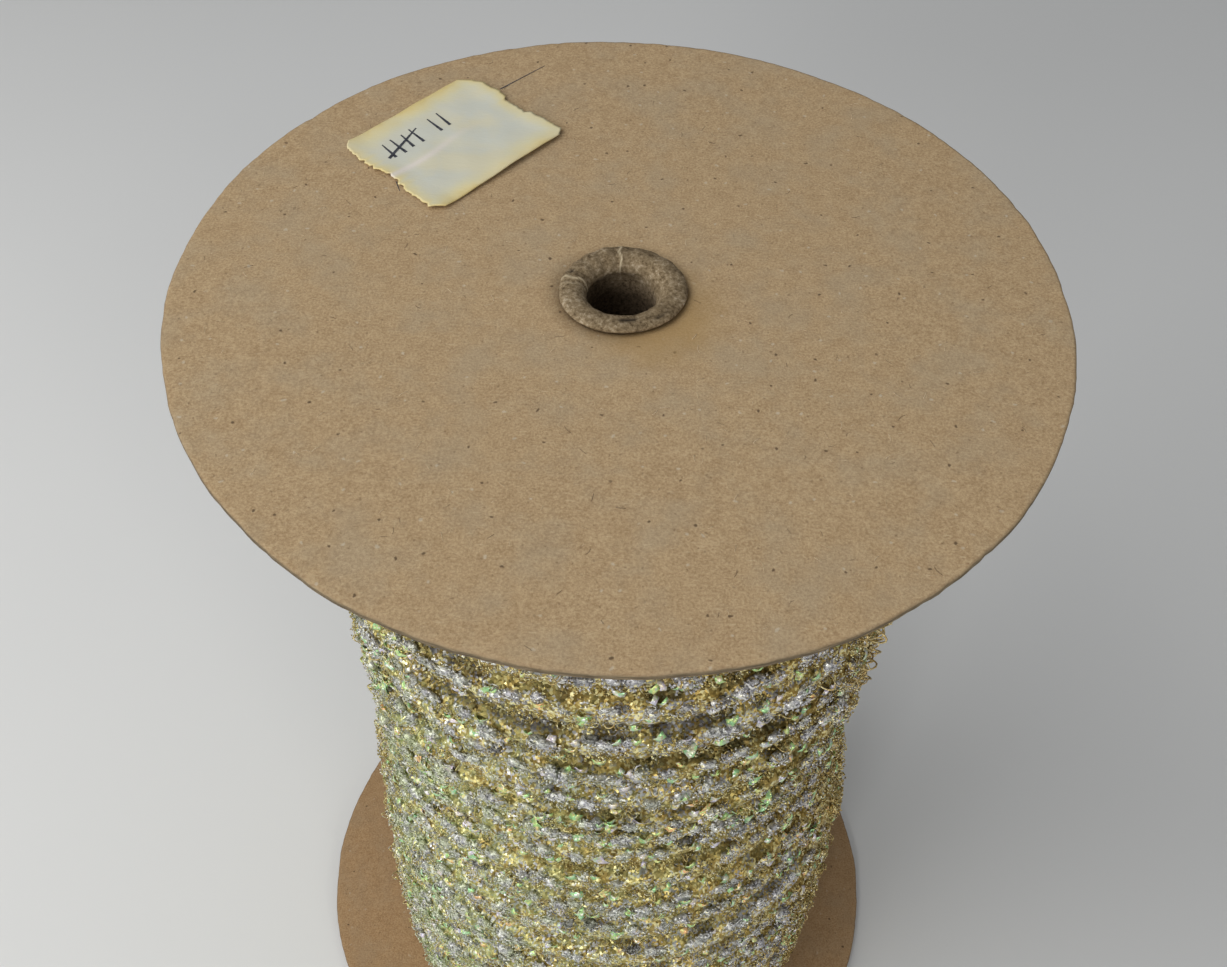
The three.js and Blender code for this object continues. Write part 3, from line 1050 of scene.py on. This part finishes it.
def pen_marks(material):
    """Pen strokes on the board and on the tape."""
    board, tape = Bits(), Bits()
    for (x, y), (x2, y2) in BOARD_STROKES:
        lift = UPPER_FACE + INK_THICKNESS + warp_lift(math.atan2(y, x), math.hypot(x, y) * MM)
        pen_stroke(board, (x * MM, y * MM, lift), (x2 * MM, y2 * MM, lift), 0.22 * MM)
    for start, end in TALLY_STROKES:
        ends = [Vector(tape_place(*spot, tape_height(*spot) + 0.01)) for spot in (start, end)]
        pen_stroke(tape, *ends, 0.62 * MM)
    for name, bits, slot in (("board_pen_strokes", board, "board"), ("tape_tally", tape, "tape")):
        piece = mesh_object(name, [tuple(p) for p in bits.points], bits.faces, material, smooth=False)
        dress(piece)


# The wound trim

def body_piece(material):
    """The body of the trim: thousands of foil facets over the whole winding, closed round the tube, with
    painted shade in its grooves.
    """
    rng = np.random.default_rng(101)
    columns = 310
    angle = round_angles(columns)
    gap_depth, groove_shade, gap_shade = 0.35, 0.35, 0.88
    rings, shades = [], []
    for turn in range(TURNS):
        for share, rise in TURN_SECTION:
            gap = gap_strength(turn if share > 0.5 else turn - 1, angle)
            deep = smoothstep(0.30, -0.30, rise)
            rings.append(winding_point(turn, share, angle, rise - gap_depth * deep * gap))
            # Painted shade in every groove, strongest where a gap opens
            dark = smoothstep(0.36, 0.0, rise) if share > 0.5 else deep
            dark = dark * smoothstep(0.0, 0.8, gap)
            shades.append(groove_shade * deep * (1 - gap) + gap_shade * dark)
    rings.append(winding_point(TURNS - 1, 1.0, angle, TURN_SECTION[0][1]))
    shades.append(np.ones(columns))
    points = np.stack(rings)
    out = polar(1.0, angle, 0.0)
    along = polar(1.0, angle + TAU / 4, 0.0)
    shape = points.shape[:2] + (1,)
    points = points + out * rng.normal(0, 0.28 * MM, shape) + along * rng.uniform(-0.4, 0.4, shape) * MM
    points[..., 2] += rng.uniform(-0.34, 0.34, shape[:2]) * MM
    points[..., 2] = np.clip(points[..., 2], TRAVERSE_LOW, TRAVERSE_HIGH)
    core = out * HOLE_RADIUS
    floor = core + np.array([0, 0, TRAVERSE_LOW])
    ceiling = core + np.array([0, 0, TRAVERSE_HIGH])
    points = np.concatenate([floor[None], points, ceiling[None]])
    shades = np.concatenate([np.ones(columns)] + shades + [np.ones(columns)])
    faces = ring_faces(len(points), columns)
    piece = mesh_object("trim_body", points.reshape(-1, 3), faces, material)
    chance = rng.uniform(0, 1, len(shades))
    # Points in painted shade carry it as a tint below 0, the rest their own chance
    set_attribute(piece, "tint", np.where(shades > 0.05, -shades, chance))
    dress(piece, stands_for=("trim_winding",))


def frames(turn, share, angle, rise, lean_out):
    """Points on the winding with their outward and upward directions."""
    spot = winding_point(turn, share, angle, rise)
    step = 0.01
    ahead = winding_point(turn, share, angle + step, rise) - spot
    above = winding_point(turn, np.minimum(share + 0.05, 1), angle, rise) - spot
    out = unit(np.cross(ahead, above))
    up = unit(np.cross(out, ahead))
    lean = np.asarray(lean_out)[..., None]
    return spot, unit(out * np.cos(lean) - up * np.sin(lean)), unit(up * np.cos(lean) + out * np.sin(lean))


def turned(out, up, spin):
    """The up directions, turned about the outward ones."""
    spin = spin[:, None]
    return unit(up * np.cos(spin) + np.cross(up, out) * np.sin(spin))


def lower_and_upper(name):
    """Two pieces for the lower and the upper turns, with the turns where each begins and ends."""
    return (name + "_low", 0, MIDDLE_TURN), (name + "_high", MIDDLE_TURN, TURNS)


def set_on_trim(name, shapes, place, lean, spin, stretch, tint, material, seed, size=1.0):
    """Small shapes set on the winding, each leaning out and turned its own way."""
    spot, out, up = frames(*place, lean)
    up = turned(out, up, spin)
    dress(scattered(name, shapes, spot, out, up, stretch, tint, material, seed, size))


def picot_pieces(material):
    """The silver picot edge along the top of every turn, in two pieces."""
    rng = np.random.default_rng(211)
    shapes = shape_collection("picot", picot_tuft, count=8, seed=300)
    for name, first, last in lower_and_upper("silver_picots"):
        turn, angle = [], []
        for t in range(first, last):
            count = PICOTS_A_TURN + int(rng.integers(-3, 4))
            steps = (np.arange(count) + rng.uniform(-0.42, 0.42, count)) * TAU / count + rng.uniform(0, TAU)
            turn.append(np.full(count, float(t)))
            angle.append(steps)
        turn, angle = np.concatenate(turn), np.concatenate(angle)
        count = len(turn)
        wander = 0.06 * np.sin(4 * angle + 1.7 * turn) + 0.04 * np.sin(9 * angle + 2.9 * turn)
        share = 0.62 + wander + rng.normal(0, 0.055, count)
        swell = 0.5 * np.sin(3 * angle + 2.1 * turn) + 0.5 * np.sin(7 * angle + 1.3 * turn)
        gap = gap_strength(turn, angle)
        lift = 0.14 * gap
        rise = 0.30 + 0.18 * swell + rng.normal(0, 0.13, count) + lift
        lean, spin = rng.normal(0.1, 0.3, count), rng.normal(0, 0.4, count)
        stretch = rng.uniform(0.7, 1.15, (count, 3)) * (0.97 + 0.16 * swell[:, None])
        # The lowest tufts lie in the shade, deepest where a gap is open
        tint = np.where(rise < 0.06 + lift, -0.55 - 0.4 * gap, rng.uniform(0, 1, count))
        place = turn, share, angle, rise
        set_on_trim(name, shapes, place, lean, spin, stretch, tint, material, seed=5)


def gold_pieces(material):
    """Fine gold thread over the body of every turn, in two pieces."""
    rng = np.random.default_rng(401)
    shapes = shape_collection("tangle", gold_tangle, count=10, seed=500)
    count = 1700
    upright = np.zeros(count)
    for name, first, last in lower_and_upper("gold_thread"):
        turn = rng.integers(first, last, count).astype(float)
        share = rng.uniform(0.0, 0.96, count)
        angle = rng.uniform(0, TAU, count)
        # What would lie in an open gap lies further down its turn instead
        open_gap = (share > 0.58) & (gap_strength(turn, angle) > rng.uniform(0.15, 0.5, count))
        share = np.where(open_gap, share - 0.4, share)
        over = ((share > 0.5) & (share < 0.76)) * 0.42
        rise = np.maximum(section_rise(share), -0.3) + 0.1 + over + rng.uniform(-0.05, 0.12, count)
        stretch = rng.uniform(0.8, 1.25, (count, 3)) * (1 - 0.25 * (share > 0.5))[:, None]
        # Tangles that lie low get painted shade
        tint = np.where(rise < 0.1, -0.5, rng.uniform(0, 1, count))
        place = turn, share, angle, rise
        set_on_trim(name, shapes, place, upright, upright, stretch, tint, material, seed=9)


def film_piece(material):
    """Pearly film that flashes between the threads."""
    rng = np.random.default_rng(601)
    shapes = shape_collection("flake", film_flake, count=8, seed=700)
    count = 2900
    turn = rng.integers(0, TURNS, count).astype(float)
    share = rng.uniform(0.22, 0.86, count)
    angle = rng.uniform(0, TAU, count)
    rise = np.maximum(section_rise(share), -0.1) + 0.34
    lean, spin = rng.normal(0, 0.25, count), rng.normal(0, 0.6, count)
    stretch = rng.uniform(0.75, 1.2, (count, 3))
    green = rng.normal(0.42, 0.14, count)
    odd = rng.uniform(0, 1, count)
    # One flake in eight is orange or yellow, and two in nine are lavender, blue or white
    tint = np.where(odd < 0.12, rng.uniform(0, 0.15, count), green)
    tint = np.where(odd > 0.78, rng.uniform(0.72, 1, count), tint)
    place = turn, share, angle, rise
    set_on_trim("pearl_film", shapes, place, lean, spin, stretch, tint, material, seed=3)


def stray_piece(material):
    """Loose loops of thread all over, thickest on the right in some turns above the middle."""
    rng = np.random.default_rng(801)
    shapes = shape_collection("stray", stray_loop, count=8, seed=900)
    count = 1100
    turn = rng.integers(0, TURNS, count).astype(float)
    angle = rng.uniform(0, TAU, count)
    bunch = 90
    turn[:bunch] = rng.integers(14, 17, bunch)
    angle[:bunch] = rng.normal(-0.33, 0.16, bunch)
    share = rng.uniform(0.1, 0.9, count)
    rise = np.maximum(section_rise(share), 0) + rng.uniform(0.15, 0.55, count)
    lean, spin = rng.normal(0.1, 0.4, count), rng.uniform(-1.5, 1.5, count)
    stretch = rng.uniform(0.7, 1.3, (count, 1)) * np.ones(3)
    stretch[:bunch] *= 1.6
    tint = rng.uniform(0, 1, count)
    place = turn, share, angle, rise
    set_on_trim("stray_loops", shapes, place, lean, spin, stretch, tint, material, seed=11, size=0.65)


def fibre_piece(material):
    """Loose paper fibres and dark specks on the upper face of the upper flange."""
    rng = np.random.default_rng(1001)
    shapes = shape_collection("fibre", board_fibre, count=8, seed=1100)
    count = 420
    radius = np.sqrt(rng.uniform((13 * MM) ** 2, (FLANGE_RADIUS - 2 * MM) ** 2, count))
    angle = rng.uniform(0, TAU, count)
    lift = warp_lift(angle, radius)
    spot = polar(radius, angle, UPPER_FACE + lift + 0.02 * MM)
    out = np.tile((0.0, 0.0, 1.0), (count, 1))
    heading = rng.uniform(0, TAU, count)
    up = polar(1.0, heading, 0.0)
    stretch = rng.uniform(0.6, 1.25, (count, 1)) * np.ones(3)
    tint = rng.uniform(0, 1, count)
    dress(scattered("board_fibres", shapes, spot, out, up, stretch, tint, material, seed=2))


# Floor, light and camera

def stage_floor():
    nodes = Nodes("studio floor")
    colour = nodes.ramp(nodes.noise(3, 2.0), (0.3, (0.70, 0.705, 0.70)), (0.7, (0.73, 0.735, 0.73)))
    reach = 2.5
    corners = [(-reach, -reach, 0), (reach, -reach, 0), (reach, reach, 0), (-reach, reach, 0)]
    mesh_object("studio_floor", corners, [(0, 1, 2, 3)], nodes.finished(colour, 0.6))


def soft_light(name, place, size, power, colour):
    data = bpy.data.lights.new(name, "AREA")
    data.shape = "RECTANGLE"
    data.size, data.size_y = size
    data.energy = power
    data.color = colour
    light = placed(name, data)
    facing = (LIGHT_AIM - place).to_track_quat("-Z", "Y")
    light.matrix_world = Matrix.Translation(place) @ facing.to_matrix().to_4x4()


# Each soft light: its place, width and depth, power in watts, and colour
SOFT_LIGHTS = {
    "key": ((-0.68, -0.26, 0.72), (1.0, 1.0), 8.1, (1.0, 0.985, 0.96)),
    "overhead": ((-0.3, 0.45, 1.6), (1.4, 1.0), 2.5, (0.97, 0.985, 1.0)),
    "spark_front": ((-0.35, -0.98, 0.75), (0.2, 0.2), 2.2, (1.0, 1.0, 1.0)),
    "fill": ((0.50, -1.0, 0.36), (0.4, 0.4), 3.2, (1.0, 0.97, 0.93)),
}
LIGHT_AIM = Vector((0, 0, 0.18))


def studio_light():
    for name, (place, size, power, colour) in SOFT_LIGHTS.items():
        soft_light(name, Vector(place), size, power, colour)
    world = bpy.data.worlds.new("studio")
    world.use_nodes = True
    background = world.node_tree.nodes["Background"]
    background.inputs["Color"].default_value = (0.93, 0.96, 1.0, 1.0)
    background.inputs["Strength"].default_value = 0.21
    bpy.context.scene.world = world


# The view: from 177 mm in front of the spool's axis and 160 mm above its upper face, 50 degrees down
FRAME_WIDTH = 1227
FOCAL_PIXELS = 1387.2
CAMERA_BACK = 0.17694
CAMERA_ABOVE = 0.15952
CAMERA_PITCH = math.radians(49.92)
CAMERA_ROLL = math.radians(-2.296)
SENSOR = 36.0


def photo_camera():
    data = bpy.data.cameras.new("photo_view")
    data.sensor_fit = "HORIZONTAL"
    data.sensor_width = SENSOR
    data.lens = SENSOR * FOCAL_PIXELS / FRAME_WIDTH
    data.clip_start = 0.01
    camera = placed("photo_view", data)
    ahead = Vector((0, math.cos(CAMERA_PITCH), -math.sin(CAMERA_PITCH)))
    level = Vector((1, 0, 0))
    down = ahead.cross(level)
    right = level * math.cos(CAMERA_ROLL) + down * math.sin(CAMERA_ROLL)
    down = down * math.cos(CAMERA_ROLL) - level * math.sin(CAMERA_ROLL)
    turn = Matrix((right, -down, -ahead)).transposed().to_4x4()
    camera.matrix_world = Matrix.Translation((0, -CAMERA_BACK, UPPER_FACE + CAMERA_ABOVE)) @ turn
    bpy.context.scene.camera = camera


photo_camera()
stage_floor()
studio_light()
bpy.context.scene.view_settings.view_transform = "Standard"

# The upper board has the painted shadow of the tube at its hub
flange_piece("board_flange_top", "flange_top", board_material("upper board", True), 21)
# The lower board is a darker, warmer copy of the same board: painted shade
flange_piece(
    "board_flange_bottom", "flange_bottom", board_material("lower board", False, (0.80, 0.72, 0.66)), 22)
tube_piece(tube_material())
tape_piece(tape_material())
pen_marks(ink_material())
fibre_piece(fibre_material())

body_piece(tinsel_material("tinsel body", 0.22, gloss=0.08))
picot_pieces(tinsel_material("silver tinsel", 1.02, metal=0.3))
gold_pieces(tinsel_material("gold tinsel", 0.16, gloss=0.3))
film_piece(film_material())
stray_piece(tinsel_material("copper thread", -1.0, tones=COPPER_TONES))
